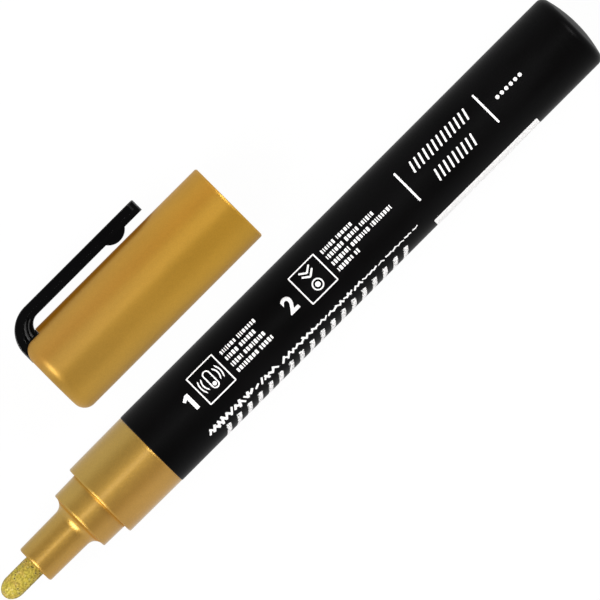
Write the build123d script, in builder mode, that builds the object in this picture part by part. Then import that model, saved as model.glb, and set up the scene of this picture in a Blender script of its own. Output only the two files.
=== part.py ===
"""Liquid chalk marker, uncapped, with its cap lying beside it.

Millimetres. The marker's axis is X, from the nib (negative) to the tail (positive). The origin is on
that axis, at the barrel's front rim. The cap lies beside the barrel, towards +Y, on the same table.
"""

from math import cos, pi, sin, sqrt, tau

from build123d import *
import os

os.makedirs("parts", exist_ok=True)

# Barrel
barrel_radius = 8.0
barrel_length = 109.3
barrel_wall = 1.1
barrel_rim_round = 0.2
tail_wall = 1.5
tail_dome_rise = 1.3
tail_corner_round = 1.6
chamber_corner_round = 1.2

# Front section: collar, shoulder, nose, and the spigot inside the barrel
collar_length = 13.2
collar_step = 0.05
collar_draft = 0.1
collar_edge_round = 0.25
collar_rear_round = 0.15
shoulder_length = 5.2
shoulder_wall = 1.29
shoulder_draft = 0.11
shoulder_edge_round = 0.22
nose_length = 11.4
nose_root_radius = 4.1
nose_draft = 0.13
nose_root_round = 2.05
nose_root_round_share = 0.965
nose_wall = 0.77
nose_edge_round = 0.4
spigot_length = 9.0
spigot_clearance = 0.03
spigot_lead_in = 0.5
snap_bead_place = 5.5
snap_bead_radius = 0.3
spigot_wall = 1.67
valve_ledge_depth = 3.4
valve_bead_radius = 0.2
flute_count = 4
flute_radius = 0.4

# Nib and its travel when pressed
nib_radius = 2.2
nib_exposed = 8.05
nib_tip_length = 2.84
nib_insert = 12.6
nib_clearance = 0.1
nib_tail_chamfer = 0.3
nib_guide_length = 2.4
press_travel = 3.0
press_margin = 0.6

# Feed sponge
sponge_clearance = 0.05
sponge_end_gap = 0.1
sponge_nib_gap = 0.15

# Valve seat, with radii as shares of the valve bore that holds it
seat_clearance = 0.03
seat_boss_length = 3.4
seat_hole_share = 0.327
seat_hole_length = 0.7
seat_cone_depth = 0.7

# Valve stem, with radii as shares of the valve bore
stem_pin_share = 0.231
stem_head_share = 0.558
stem_head_rim = 0.8
stem_seat_gap = 0.06
stem_rod_share = 0.212
stem_rod_overhang = 2.0
stem_boss_share = 0.279
stem_boss_length = 1.0
stem_end_chamfer = 0.3

# Valve cage, with radii as shares of the valve bore
cage_flange_length = 1.8
cage_radius_share = 0.846
cage_bore_share = 0.692
cage_rear_wall = 1.4
cage_rod_clearance = 0.12
cage_window_count = 4
cage_window_width = 2.6
cage_window_margin = 1.5

# Valve spring, wound round the stem
spring_room = 10.0
spring_radius_share = 0.394
spring_wire_radius = 0.22
spring_turns = 6
spring_end_gap = 0.05

# Mixing ball
ball_radius = 3.0
ball_clearance = 0.1
ball_place = 62.0

# Cap shell
cap_wall = 0.52
cap_draft = 0.05
cap_length = 45.8
cap_corner_round = 2.5
cap_end_crown = 0.15
cap_mouth_round = 0.42
cap_fit_clearance = 0.08
cap_end_wall = 1.3
cap_step_gap = 0.1
cap_liner_step = 0.28
cap_inner_corner_round = 1.2
cap_side_gap = 5.1
cap_lead = 4.05

# Inner cap
liner_clearance = 0.03
liner_wall = 0.8
liner_rim_length = 1.4
liner_seat_gap = 0.15
liner_shoulder_clearance = 0.06
liner_shoulder_overlap = 5.6
liner_throat_length = 2.4
liner_nose_clearance = 1.1
liner_clip_gap = 0.35
liner_rib_count = 6
liner_rib_thickness = 0.8
liner_bottom_round = 0.8

# Clip
clip_root_length = 4.3
clip_root_width = 7.9
clip_root_depth = 4.1
clip_gap = 1.63
clip_strap_thickness = 1.5
clip_web_thickness = 1.05
clip_web_inset = 0.9
clip_inner_bend = 2.42
clip_outer_bend = 6.05
clip_length = 33.6
clip_taper_setback = 1.0
clip_tip_width = 5.6
clip_tip_corner_round = 1.8
clip_bump_place = 26.8
clip_bump_half_length = 2.39
clip_bump_height = 1.2
clip_edge_round = 0.25
clip_slot_clearance = 0.3
clip_barb_length = 1.5
clip_barb_clearance = 0.25
clip_barb_proud = 0.55
clip_barb_setback = 0.9

# One overrun for every cut that passes right through
overrun = 1.0

# Places along the marker's axis
collar_front_x = -collar_length
shoulder_front_x = collar_front_x - shoulder_length
nose_front_x = shoulder_front_x - nose_length
nib_tip_x = nose_front_x - nib_exposed
nib_rear_x = nose_front_x + nib_insert
guide_end_x = nose_front_x + nib_guide_length
ledge_x = collar_front_x - valve_ledge_depth
pocket_floor_x = nib_rear_x + press_travel + press_margin
seat_rear_x = pocket_floor_x + seat_hole_length + seat_cone_depth
seat_front_x = ledge_x - seat_boss_length
cage_flange_end_x = seat_rear_x + cage_flange_length
tail_x = barrel_length

# Radii of the marker that follow from the fits, from the barrel inwards
chamber_radius = barrel_radius - barrel_wall
spigot_radius = chamber_radius - spigot_clearance
valve_bore_radius = spigot_radius - spigot_wall
collar_rear_radius = barrel_radius - collar_step
collar_front_radius = collar_rear_radius - collar_draft
shoulder_radius = valve_bore_radius + shoulder_wall
shoulder_front_radius = shoulder_radius - shoulder_draft
nose_front_radius = nose_root_radius - nose_draft
nose_step = shoulder_front_radius - nose_root_radius
nose_root_fillet = min(nose_root_round, nose_root_round_share * (nose_step - shoulder_edge_round))
sponge_cavity_radius = nose_front_radius - nose_wall
nib_bore_radius = nib_radius + nib_clearance
seat_hole_radius = seat_hole_share * valve_bore_radius
stem_pin_radius = stem_pin_share * valve_bore_radius
stem_head_radius = stem_head_share * valve_bore_radius
stem_rod_radius = stem_rod_share * valve_bore_radius
stem_boss_radius = stem_boss_share * valve_bore_radius
cage_radius = cage_radius_share * valve_bore_radius
cage_bore_radius = cage_bore_share * valve_bore_radius
spring_radius = spring_radius_share * valve_bore_radius

# Radii of the cap that follow from the collar outwards
cap_bore_radius = collar_rear_radius + cap_fit_clearance
cap_liner_radius = cap_bore_radius - cap_liner_step
cap_mouth_radius = cap_bore_radius + cap_wall
cap_radius = cap_mouth_radius + cap_draft
liner_nose_radius = nose_root_radius + liner_nose_clearance
clip_thickness = clip_strap_thickness + clip_web_thickness

# Place of the cap: its closed end, its distance beside the barrel, and its height on the same table
cap_end_x = -cap_lead
cap_y = barrel_radius + cap_side_gap + cap_radius
cap_z = cap_radius - barrel_radius
cap_plane = Plane(origin=(cap_end_x, cap_y, cap_z), x_dir=(1, 0, 0), z_dir=(0, 0, 1))
cap_axis = Axis((cap_end_x, cap_y, cap_z), (1, 0, 0))


def corner(sketch, place):
    """The sketch's vertex nearest to a place in its own plane."""
    return sketch.vertices().sort_by_distance(place)[0]


# Barrel: a tube closed by a low dome, with a groove for the front section's snap bead
with BuildPart() as barrel:
    with BuildSketch() as barrel_profile:
        with BuildLine():
            Line((tail_x - tail_wall, 0), (tail_x, 0))
            TangentArc((tail_x, 0), (tail_x - tail_dome_rise, barrel_radius), tangent=(0, 1))
            Polyline(
                (tail_x - tail_dome_rise, barrel_radius),
                (0, barrel_radius),
                (0, chamber_radius),
                (tail_x - tail_wall - tail_dome_rise, chamber_radius),
            )
            TangentArc(
                (tail_x - tail_wall, 0),
                (tail_x - tail_wall - tail_dome_rise, chamber_radius),
                tangent=(0, 1),
            )
        make_face()
        fillet(corner(barrel_profile, (tail_x - tail_dome_rise, barrel_radius)), tail_corner_round)
        fillet(
            corner(barrel_profile, (tail_x - tail_wall - tail_dome_rise, chamber_radius)),
            chamber_corner_round,
        )
        fillet(corner(barrel_profile, (0, barrel_radius)), barrel_rim_round)
        with Locations((snap_bead_place, chamber_radius)):
            Circle(snap_bead_radius, mode=Mode.SUBTRACT)
    revolve(axis=Axis.X)
barrel.part.label = "barrel"
export_step(barrel.part, "parts/barrel.step")

# Front section: nose, shoulder and collar outside, nib guide, sponge cavity and valve bore inside
with BuildPart() as front_section:
    with BuildSketch() as front_profile:
        with BuildLine():
            Polyline(
                (nose_front_x, nib_bore_radius),
                (nose_front_x, nose_front_radius),
                (shoulder_front_x, nose_root_radius),
                (shoulder_front_x, shoulder_front_radius),
                (collar_front_x, shoulder_radius),
                (collar_front_x, collar_front_radius),
                (0, collar_rear_radius),
                (0, spigot_radius),
                (spigot_length, spigot_radius),
                (spigot_length, valve_bore_radius),
                (ledge_x, valve_bore_radius),
                (ledge_x, sponge_cavity_radius),
                (guide_end_x, sponge_cavity_radius),
                (guide_end_x, nib_bore_radius),
                close=True,
            )
        make_face()
        fillet(corner(front_profile, (nose_front_x, nose_front_radius)), nose_edge_round)
        fillet(corner(front_profile, (shoulder_front_x, nose_root_radius)), nose_root_fillet)
        fillet(corner(front_profile, (shoulder_front_x, shoulder_front_radius)), shoulder_edge_round)
        fillet(corner(front_profile, (collar_front_x, collar_front_radius)), collar_edge_round)
        fillet(corner(front_profile, (0, collar_rear_radius)), collar_rear_round)
        chamfer(corner(front_profile, (spigot_length, spigot_radius)), spigot_lead_in)
        with Locations((snap_bead_place, spigot_radius)):
            Circle(snap_bead_radius - spigot_clearance)
        with Locations((cage_flange_end_x + valve_bead_radius + seat_clearance, valve_bore_radius)):
            Circle(valve_bead_radius)
    revolve(axis=Axis.X)
    with BuildSketch(Plane.YZ.offset(nose_front_x - overrun)):
        with PolarLocations(nib_bore_radius, flute_count):
            Circle(flute_radius)
    extrude(amount=nib_guide_length + 2 * overrun, mode=Mode.SUBTRACT)
front_section.part.label = "front_section"
export_step(front_section.part, "parts/front_section.step")

# Nib: a fibre rod with a bullet tip
with BuildPart() as nib:
    with BuildSketch() as nib_profile:
        with BuildLine():
            EllipticalCenterArc(
                (nib_tip_x + nib_tip_length, 0),
                nib_tip_length,
                nib_radius,
                start_angle=90,
                arc_size=90,
            )
            Polyline(
                (nib_tip_x, 0),
                (nib_rear_x, 0),
                (nib_rear_x, nib_radius),
                (nib_tip_x + nib_tip_length, nib_radius),
            )
        make_face()
        chamfer(corner(nib_profile, (nib_rear_x, nib_radius)), nib_tail_chamfer)
    revolve(axis=Axis.X)
nib.part.label = "nib"
export_step(nib.part, "parts/nib.step")

# Feed sponge: a ring in the nose, round the nib's shank
with BuildPart() as feed_sponge:
    with BuildSketch(Plane.YZ.offset(guide_end_x + sponge_end_gap)):
        Circle(sponge_cavity_radius - sponge_clearance)
        Circle(nib_radius + sponge_nib_gap, mode=Mode.SUBTRACT)
    extrude(amount=seat_front_x - guide_end_x - 2 * sponge_end_gap)
feed_sponge.part.label = "feed_sponge"
export_step(feed_sponge.part, "parts/feed_sponge.step")

# Valve seat: a plug against the ledge, with the nib's pocket in front and the conical seat behind
with BuildPart() as valve_seat:
    with BuildSketch():
        with BuildLine():
            Polyline(
                (seat_front_x, nib_bore_radius),
                (seat_front_x, sponge_cavity_radius - seat_clearance),
                (ledge_x, sponge_cavity_radius - seat_clearance),
                (ledge_x, valve_bore_radius - seat_clearance),
                (seat_rear_x, valve_bore_radius - seat_clearance),
                (seat_rear_x, seat_hole_radius + seat_cone_depth),
                (seat_rear_x - seat_cone_depth, seat_hole_radius),
                (pocket_floor_x, seat_hole_radius),
                (pocket_floor_x, nib_bore_radius),
                close=True,
            )
        make_face()
    revolve(axis=Axis.X)
valve_seat.part.label = "valve_seat"
export_step(valve_seat.part, "parts/valve_seat.step")

# Valve stem: the pin that the nib pushes, the conical head and the rod that the cage guides
cone_tip_x = seat_rear_x - seat_cone_depth + stem_seat_gap - (seat_hole_radius - stem_pin_radius)
head_edge_x = cone_tip_x + stem_head_radius - stem_pin_radius
head_back_x = head_edge_x + stem_head_rim
cage_floor_x = head_back_x + spring_room
cage_end_x = cage_floor_x + cage_rear_wall
stem_end_x = cage_end_x + stem_rod_overhang

with BuildPart() as valve_stem:
    with BuildSketch() as stem_profile:
        with BuildLine():
            Polyline(
                (nib_rear_x, 0),
                (nib_rear_x, stem_pin_radius),
                (cone_tip_x, stem_pin_radius),
                (head_edge_x, stem_head_radius),
                (head_back_x, stem_head_radius),
                (head_back_x, stem_boss_radius),
                (head_back_x + stem_boss_length, stem_boss_radius),
                (head_back_x + stem_boss_length, stem_rod_radius),
                (stem_end_x, stem_rod_radius),
                (stem_end_x, 0),
                close=True,
            )
        make_face()
        chamfer(corner(stem_profile, (stem_end_x, stem_rod_radius)), stem_end_chamfer)
    revolve(axis=Axis.X)
valve_stem.part.label = "valve_stem"
export_step(valve_stem.part, "parts/valve_stem.step")

# Valve cage: a flanged cup behind the seat, with windows that let the paint in
window_start_x = cage_flange_end_x + cage_window_margin
window_length = cage_floor_x - cage_window_margin - window_start_x

with BuildPart() as valve_cage:
    with BuildSketch():
        with BuildLine():
            Polyline(
                (seat_rear_x, cage_bore_radius),
                (seat_rear_x, valve_bore_radius - seat_clearance),
                (cage_flange_end_x, valve_bore_radius - seat_clearance),
                (cage_flange_end_x, cage_radius),
                (cage_end_x, cage_radius),
                (cage_end_x, stem_rod_radius + cage_rod_clearance),
                (cage_floor_x, stem_rod_radius + cage_rod_clearance),
                (cage_floor_x, cage_bore_radius),
                close=True,
            )
        make_face()
    revolve(axis=Axis.X)
    with BuildSketch(Plane.YZ.offset(window_start_x)):
        with PolarLocations(cage_radius, cage_window_count):
            Rectangle(2 * cage_radius, cage_window_width)
        Circle(cage_bore_radius - cage_window_margin, mode=Mode.SUBTRACT)
    extrude(amount=window_length, mode=Mode.SUBTRACT)
valve_cage.part.label = "valve_cage"
export_step(valve_cage.part, "parts/valve_cage.step")

# Valve spring: one unbroken wire, wound as half turns of two tangent arcs each
spring_start_x = head_back_x + spring_wire_radius + spring_end_gap
spring_end_x = cage_floor_x - spring_wire_radius - spring_end_gap
spring_pitch = (spring_end_x - spring_start_x) / spring_turns


def wire_point(turn):
    """The wire's centre after this many turns."""
    angle = tau * turn
    return Vector(
        spring_start_x + spring_pitch * turn,
        spring_radius * cos(angle),
        spring_radius * sin(angle),
    )


def wire_direction(turn):
    """The way that the wire runs after this many turns."""
    angle = tau * turn
    slope = spring_pitch / tau
    return Vector(slope, -spring_radius * sin(angle), spring_radius * cos(angle)).normalized()


def arc_meeting_point(start, start_way, end, end_way):
    """Where two tangent arcs from start to end meet."""
    chord = end - start
    both = start_way + end_way
    turn_back = 2 * (1 - start_way.dot(end_way))
    along = chord.dot(both)
    reach = (sqrt(along**2 + turn_back * chord.dot(chord)) - along) / turn_back
    return (start + end + (start_way - end_way) * reach) / 2


with BuildPart() as valve_spring:
    with BuildLine() as spring_path:
        for half_turn in range(2 * spring_turns):
            start = wire_point(half_turn / 2)
            end = wire_point((half_turn + 1) / 2)
            start_way = wire_direction(half_turn / 2)
            end_way = wire_direction((half_turn + 1) / 2)
            middle = arc_meeting_point(start, start_way, end, end_way)
            TangentArc(start, middle, tangent=start_way)
            TangentArc(end, middle, tangent=end_way * -1)
    with BuildSketch(Plane(origin=wire_point(0), z_dir=wire_direction(0))):
        Circle(spring_wire_radius)
    sweep(path=spring_path.line)
valve_spring.part.label = "valve_spring"
export_step(valve_spring.part, "parts/valve_spring.step")

wire_length = spring_turns * sqrt((tau * spring_radius) ** 2 + spring_pitch**2)
wire_volume = pi * spring_wire_radius**2 * wire_length
print("least gap between turns", round(spring_pitch - 2 * spring_wire_radius, 3))
print("spring volume", round(valve_spring.part.volume, 3), "expected", round(wire_volume, 3))

# Mixing ball: loose in the paint chamber, lying on its floor
with BuildPart() as mixing_ball:
    with Locations((ball_place, 0, -(chamber_radius - ball_radius - ball_clearance))):
        Sphere(ball_radius)
mixing_ball.part.label = "mixing_ball"
export_step(mixing_ball.part, "parts/mixing_ball.step")

# Cap shell: a cup with a crowned end, cut at its corner for the clip's root
clip_slot_half_width = clip_root_width / 2 + clip_slot_clearance
clip_slot_floor = cap_radius - clip_root_depth - clip_slot_clearance
cap_liner_start = cap_length - collar_length - cap_step_gap

with BuildPart() as cap_shell:
    with BuildSketch(cap_plane) as cap_profile:
        with BuildLine():
            TangentArc((0, 0), (cap_end_crown, cap_radius), tangent=(0, 1))
            Polyline(
                (cap_end_crown, cap_radius),
                (cap_length, cap_mouth_radius),
                (cap_length, cap_bore_radius),
                (cap_liner_start, cap_bore_radius),
                (cap_liner_start, cap_liner_radius),
                (cap_end_wall, cap_liner_radius),
                (cap_end_wall, 0),
                (0, 0),
            )
        make_face()
        fillet(corner(cap_profile, (cap_end_crown, cap_radius)), cap_corner_round)
        fillet(corner(cap_profile, (cap_end_wall, cap_liner_radius)), cap_inner_corner_round)
        fillet(corner(cap_profile, (cap_length, cap_mouth_radius)), cap_mouth_round)
    revolve(axis=cap_axis)
    with BuildSketch(cap_plane):
        with Locations((-overrun, clip_slot_floor)):
            Rectangle(
                overrun + clip_root_length + clip_slot_clearance,
                cap_radius - clip_slot_floor + overrun,
                align=(Align.MIN, Align.MIN),
            )
    extrude(amount=clip_slot_half_width, both=True, mode=Mode.SUBTRACT)
cap_shell.part.label = "cap_shell"
export_step(cap_shell.part, "parts/cap_shell.step")

# Inner cap: a stepped cup that closes round the shoulder, centred in the shell by ribs
liner_rim = cap_length - collar_length - liner_seat_gap
liner_shoulder_bore = shoulder_radius + liner_shoulder_clearance
liner_throat_start = liner_rim - liner_shoulder_overlap
liner_throat_end = liner_throat_start - liner_throat_length
liner_bottom = clip_root_length + liner_clip_gap
liner_floor = liner_bottom + liner_wall
liner_rim_radius = cap_liner_radius - liner_clearance

with BuildPart() as inner_cap:
    with BuildSketch(cap_plane) as liner_profile:
        with BuildLine():
            Polyline(
                (liner_bottom, 0),
                (liner_bottom, liner_nose_radius + liner_wall),
                (liner_throat_end, liner_nose_radius + liner_wall),
                (liner_throat_start, liner_shoulder_bore + liner_wall),
                (liner_rim - liner_rim_length, liner_shoulder_bore + liner_wall),
                (liner_rim - liner_rim_length, liner_rim_radius),
                (liner_rim, liner_rim_radius),
                (liner_rim, liner_shoulder_bore),
                (liner_throat_start, liner_shoulder_bore),
                (liner_throat_end, liner_nose_radius),
                (liner_floor, liner_nose_radius),
                (liner_floor, 0),
                close=True,
            )
        make_face()
        fillet(corner(liner_profile, (liner_bottom, liner_nose_radius + liner_wall)), liner_bottom_round)
    revolve(axis=cap_axis)
    with BuildSketch(Plane.YZ.offset(cap_end_x + liner_bottom + liner_bottom_round)):
        with Locations((cap_y, cap_z)):
            with PolarLocations(liner_nose_radius + liner_wall / 2, liner_rib_count):
                Rectangle(
                    liner_rim_radius - liner_nose_radius - liner_wall / 2,
                    liner_rib_thickness,
                    align=(Align.MIN, Align.CENTER),
                )
    extrude(amount=liner_throat_end - liner_bottom - liner_bottom_round)
inner_cap.part.label = "inner_cap"
export_step(inner_cap.part, "parts/inner_cap.step")

# Clip: root block in the cap's corner, a bend, and a strap with a narrower web under it
strap_top = cap_radius + clip_gap + clip_thickness
strap_bottom = strap_top - clip_strap_thickness
web_bottom = cap_radius + clip_gap
root_floor = cap_radius - clip_root_depth
root_top = web_bottom - clip_inner_bend
outer_bend_start = strap_top - clip_outer_bend
web_bend_end = clip_root_length + clip_inner_bend
taper_start = clip_outer_bend + clip_taper_setback
web_tip_corner_round = clip_tip_corner_round - clip_web_inset
barb_start = cap_end_wall + clip_barb_setback
barb_half_width = clip_root_width / 2 + clip_barb_proud
barb_top = sqrt((cap_liner_radius - clip_barb_clearance) ** 2 - barb_half_width**2)
clip_plan = Plane(origin=cap_plane.origin, x_dir=(1, 0, 0), z_dir=(0, -1, 0))

with BuildPart() as clip_web:
    with BuildSketch(cap_plane):
        with BuildLine():
            Polyline(
                (clip_bump_place + clip_bump_half_length, web_bottom),
                (clip_length, web_bottom),
                (clip_length, strap_bottom),
                (clip_outer_bend, strap_bottom),
            )
            RadiusArc(
                (clip_outer_bend, strap_bottom),
                (clip_strap_thickness, outer_bend_start),
                clip_strap_thickness - clip_outer_bend,
            )
            Polyline(
                (clip_strap_thickness, outer_bend_start),
                (clip_strap_thickness, root_top),
                (clip_root_length, root_top),
            )
            RadiusArc((clip_root_length, root_top), (web_bend_end, web_bottom), clip_inner_bend)
            Line((web_bend_end, web_bottom), (clip_bump_place - clip_bump_half_length, web_bottom))
            ThreePointArc(
                (clip_bump_place - clip_bump_half_length, web_bottom),
                (clip_bump_place, web_bottom - clip_bump_height),
                (clip_bump_place + clip_bump_half_length, web_bottom),
            )
        make_face()
    extrude(amount=clip_root_width / 2, both=True)
    with BuildSketch(clip_plan) as web_outline:
        with BuildLine():
            Polyline(
                (0, clip_root_width / 2 - clip_web_inset),
                (taper_start, clip_root_width / 2 - clip_web_inset),
                (clip_length, clip_tip_width / 2 - clip_web_inset),
                (clip_length, clip_web_inset - clip_tip_width / 2),
                (taper_start, clip_web_inset - clip_root_width / 2),
                (0, clip_web_inset - clip_root_width / 2),
                close=True,
            )
        make_face()
        fillet(web_outline.vertices().group_by(Axis.X)[-1], web_tip_corner_round)
    extrude(amount=2 * strap_top, both=True, mode=Mode.INTERSECT)

with BuildPart() as clip:
    with BuildSketch(cap_plane):
        with BuildLine():
            Polyline(
                (clip_outer_bend, strap_top),
                (clip_length, strap_top),
                (clip_length, strap_bottom),
                (clip_outer_bend, strap_bottom),
            )
            RadiusArc(
                (clip_outer_bend, strap_bottom),
                (clip_strap_thickness, outer_bend_start),
                clip_strap_thickness - clip_outer_bend,
            )
            Polyline(
                (clip_strap_thickness, outer_bend_start),
                (clip_strap_thickness, root_floor),
                (0, root_floor),
                (0, outer_bend_start),
            )
            RadiusArc((0, outer_bend_start), (clip_outer_bend, strap_top), clip_outer_bend)
        make_face()
    extrude(amount=clip_root_width / 2, both=True)
    with BuildSketch(clip_plan) as clip_outline:
        with BuildLine():
            Polyline(
                (0, clip_root_width / 2),
                (taper_start, clip_root_width / 2),
                (clip_length, clip_tip_width / 2),
                (clip_length, -clip_tip_width / 2),
                (taper_start, -clip_root_width / 2),
                (0, -clip_root_width / 2),
                close=True,
            )
        make_face()
        fillet(clip_outline.vertices().group_by(Axis.X)[-1], clip_tip_corner_round)
    extrude(amount=2 * strap_top, both=True, mode=Mode.INTERSECT)
    fillet(clip.edges().group_by(Axis.Y)[-1].sort_by(Axis.X)[1:], clip_edge_round)
    add(clip_web.part)
    with BuildSketch(cap_plane):
        with Locations((clip_strap_thickness, root_floor)):
            Rectangle(
                clip_root_length - clip_strap_thickness,
                root_top - root_floor,
                align=(Align.MIN, Align.MIN),
            )
    extrude(amount=clip_root_width / 2, both=True)
    with BuildSketch(cap_plane):
        with Locations((barb_start, root_floor)):
            Rectangle(clip_barb_length, barb_top - root_floor, align=(Align.MIN, Align.MIN))
    extrude(amount=barb_half_width, both=True)
clip.part.label = "clip"
export_step(clip.part, "parts/clip.step")
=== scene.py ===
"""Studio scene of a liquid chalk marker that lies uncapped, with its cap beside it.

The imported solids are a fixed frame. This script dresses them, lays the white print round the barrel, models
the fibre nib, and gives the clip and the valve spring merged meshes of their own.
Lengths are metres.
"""

import logging
import math
import random
from collections.abc import Callable, Iterable, Iterator
from contextlib import contextmanager
from dataclasses import dataclass, field
from enum import Enum

import bmesh
import bpy
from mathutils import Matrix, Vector


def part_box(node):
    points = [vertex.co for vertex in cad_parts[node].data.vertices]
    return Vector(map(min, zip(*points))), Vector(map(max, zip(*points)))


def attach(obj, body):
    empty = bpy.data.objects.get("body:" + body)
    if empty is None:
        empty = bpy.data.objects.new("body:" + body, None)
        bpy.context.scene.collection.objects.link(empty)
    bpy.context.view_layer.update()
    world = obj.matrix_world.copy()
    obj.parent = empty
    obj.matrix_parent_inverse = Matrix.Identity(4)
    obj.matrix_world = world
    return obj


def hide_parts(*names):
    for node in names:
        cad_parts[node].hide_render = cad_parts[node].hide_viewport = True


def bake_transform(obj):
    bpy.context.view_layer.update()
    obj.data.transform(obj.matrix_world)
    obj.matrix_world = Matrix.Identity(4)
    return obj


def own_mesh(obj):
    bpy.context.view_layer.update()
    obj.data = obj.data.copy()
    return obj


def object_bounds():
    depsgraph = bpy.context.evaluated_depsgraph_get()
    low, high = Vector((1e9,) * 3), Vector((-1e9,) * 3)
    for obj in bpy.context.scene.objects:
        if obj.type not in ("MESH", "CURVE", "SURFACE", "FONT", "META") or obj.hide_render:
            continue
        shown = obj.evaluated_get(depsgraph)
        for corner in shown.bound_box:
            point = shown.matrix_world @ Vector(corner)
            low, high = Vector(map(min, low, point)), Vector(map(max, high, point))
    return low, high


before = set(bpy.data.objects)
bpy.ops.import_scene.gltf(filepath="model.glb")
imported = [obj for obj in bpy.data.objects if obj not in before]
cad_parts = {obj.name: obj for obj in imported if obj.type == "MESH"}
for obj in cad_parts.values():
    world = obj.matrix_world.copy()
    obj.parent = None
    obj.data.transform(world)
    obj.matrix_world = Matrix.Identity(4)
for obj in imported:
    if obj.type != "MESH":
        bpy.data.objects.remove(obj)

CAD_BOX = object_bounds()
MM = 0.001
LOG = logging.getLogger("marker_scene")

Colour = tuple[float, float, float]
Place = tuple[float, float]
Point = tuple[float, float, float]
Range = tuple[float, float]
Stops = tuple[tuple[float, Colour], ...]
Socket = bpy.types.NodeSocket

WHITE: Colour = (1.0, 1.0, 1.0)
WHOLE: Range = (0.0, 1.0)
TURNED: Range = (1.0, 0.0)
NOISE_CORE: Range = (0.3, 0.7)
COPY_WELD = 0.0005 * MM
COPY_FACETS = math.radians(28)
NEARNESS_SAMPLES = 16
SOFT_EDGE_SAMPLES = 6
PRINT_SEED = 7


class Body(Enum):
    """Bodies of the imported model."""

    MARKER = "marker"
    NIB = "nib"
    CAP = "cap"
    CLIP = "clip"


class Slot(Enum):
    """Names of material slots in the record."""

    NIB = "nib_fibre"
    SPRING = "spring_steel"
    CLIP = "clip_black"


class Reach(Enum):
    """What a light falls on."""

    ALL = "all"
    CAP = "cap"
    REST = "rest"


class Element(Enum):
    """What is picked in edit mode, with its name on a mesh."""

    FACE = "faces"
    EDGE = "edges"


def release() -> None:
    """Leave edit mode and deselect everything, so that the next operator acts on nothing old."""
    if bpy.context.mode != "OBJECT":
        bpy.ops.object.mode_set(mode="OBJECT")
    bpy.ops.object.select_all(action="DESELECT")


def take(obj: bpy.types.Object) -> None:
    """Make one object the only selected and active one.

    Args:
        obj: The object to take.
    """
    release()
    obj.select_set(True)
    bpy.context.view_layer.objects.active = obj


def settle(obj: bpy.types.Object) -> None:
    """Put an object's place, turn and scale into its mesh."""
    take(obj)
    bpy.ops.object.transform_apply(location=True, rotation=True, scale=True)


def apply_all(obj: bpy.types.Object) -> None:
    """Apply an object's modifiers in order.

    Args:
        obj: The object with modifiers.
    """
    take(obj)
    for name in [modifier.name for modifier in obj.modifiers]:
        bpy.ops.object.modifier_apply(modifier=name)


def join_into(target: bpy.types.Object, others: Iterable[bpy.types.Object]) -> None:
    """Join other objects to one.

    Args:
        target: The object that they become part of.
        others: The objects that are joined to it.
    """
    take(target)
    for other in others:
        other.select_set(True)
    bpy.ops.object.join()


@contextmanager
def editing(obj: bpy.types.Object) -> Iterator[None]:
    """Edit one object's mesh, with all of it selected at first.

    Args:
        obj: The object to edit.
    """
    take(obj)
    bpy.ops.object.mode_set(mode="EDIT")
    bpy.ops.mesh.select_all(action="SELECT")
    yield
    bpy.ops.object.mode_set(mode="OBJECT")


def pick(obj: bpy.types.Object, element: Element, test: Callable[..., bool]) -> None:
    """Select, in edit mode, the faces or the edges that pass a test.

    Args:
        obj: The object in edit mode.
        element: Whether faces or edges are picked.
        test: Says of a face or an edge whether it is selected.
    """
    bpy.ops.mesh.select_all(action="DESELECT")
    bpy.ops.mesh.select_mode(type=element.name)
    cage = bmesh.from_edit_mesh(obj.data)
    for item in getattr(cage, element.value):
        if test(item):
            item.select_set(True)
    bmesh.update_edit_mesh(obj.data)


def merged_copy(node: str, name: str) -> bpy.types.Object:
    """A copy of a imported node's mesh, with its loose triangles joined and shaded by angle.

    Args:
        node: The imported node.
        name: The new object's name.

    Returns:
        The copy, at the origin.
    """
    copy = bpy.data.objects.new(name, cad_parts[node].data.copy())
    bpy.context.scene.collection.objects.link(copy)
    with editing(copy):
        bpy.ops.mesh.customdata_custom_splitnormals_clear()
        bpy.ops.mesh.remove_doubles(threshold=COPY_WELD)
    bpy.ops.object.shade_smooth_by_angle(angle=COPY_FACETS)
    return copy


def dress(obj: bpy.types.Object, finish: "Finish", mirrored: bool = False) -> None:
    """Give an object one finish all over.

    Args:
        obj: The object to dress.
        finish: Its finish.
        mirrored: Whether it shows in the gloss of other objects.
    """
    obj.data.materials.clear()
    obj.data.materials.append(finish.material())
    obj.visible_glossy = mirrored
    LOG.info("%s wears %s", obj.name, finish.name)


def dress_faces(
    obj: bpy.types.Object, finish: "Finish", test: Callable[[bmesh.types.BMFace], bool]
) -> None:
    """Give some faces of a dressed object another finish.

    Args:
        obj: The object.
        finish: Their finish.
        test: Says of a face whether it gets that finish.
    """
    obj.data.materials.append(finish.material())
    with editing(obj):
        pick(obj, Element.FACE, test)
        obj.active_material_index = len(obj.data.materials) - 1
        bpy.ops.object.material_slot_assign()


def fill_ramp(ramp: bpy.types.ColorRamp, stops: Stops) -> None:
    """Give a smooth colour ramp its stops.

    Args:
        ramp: The ramp, with two stops or more to begin with.
        stops: Places from 0 to 1, with their colours.
    """
    ramp.interpolation = "EASE"
    while len(ramp.elements) < len(stops):
        ramp.elements.new(0.5)
    for element, (place, colour) in zip(ramp.elements, stops):
        element.position = place
        element.color = (*colour, 1.0)


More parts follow.
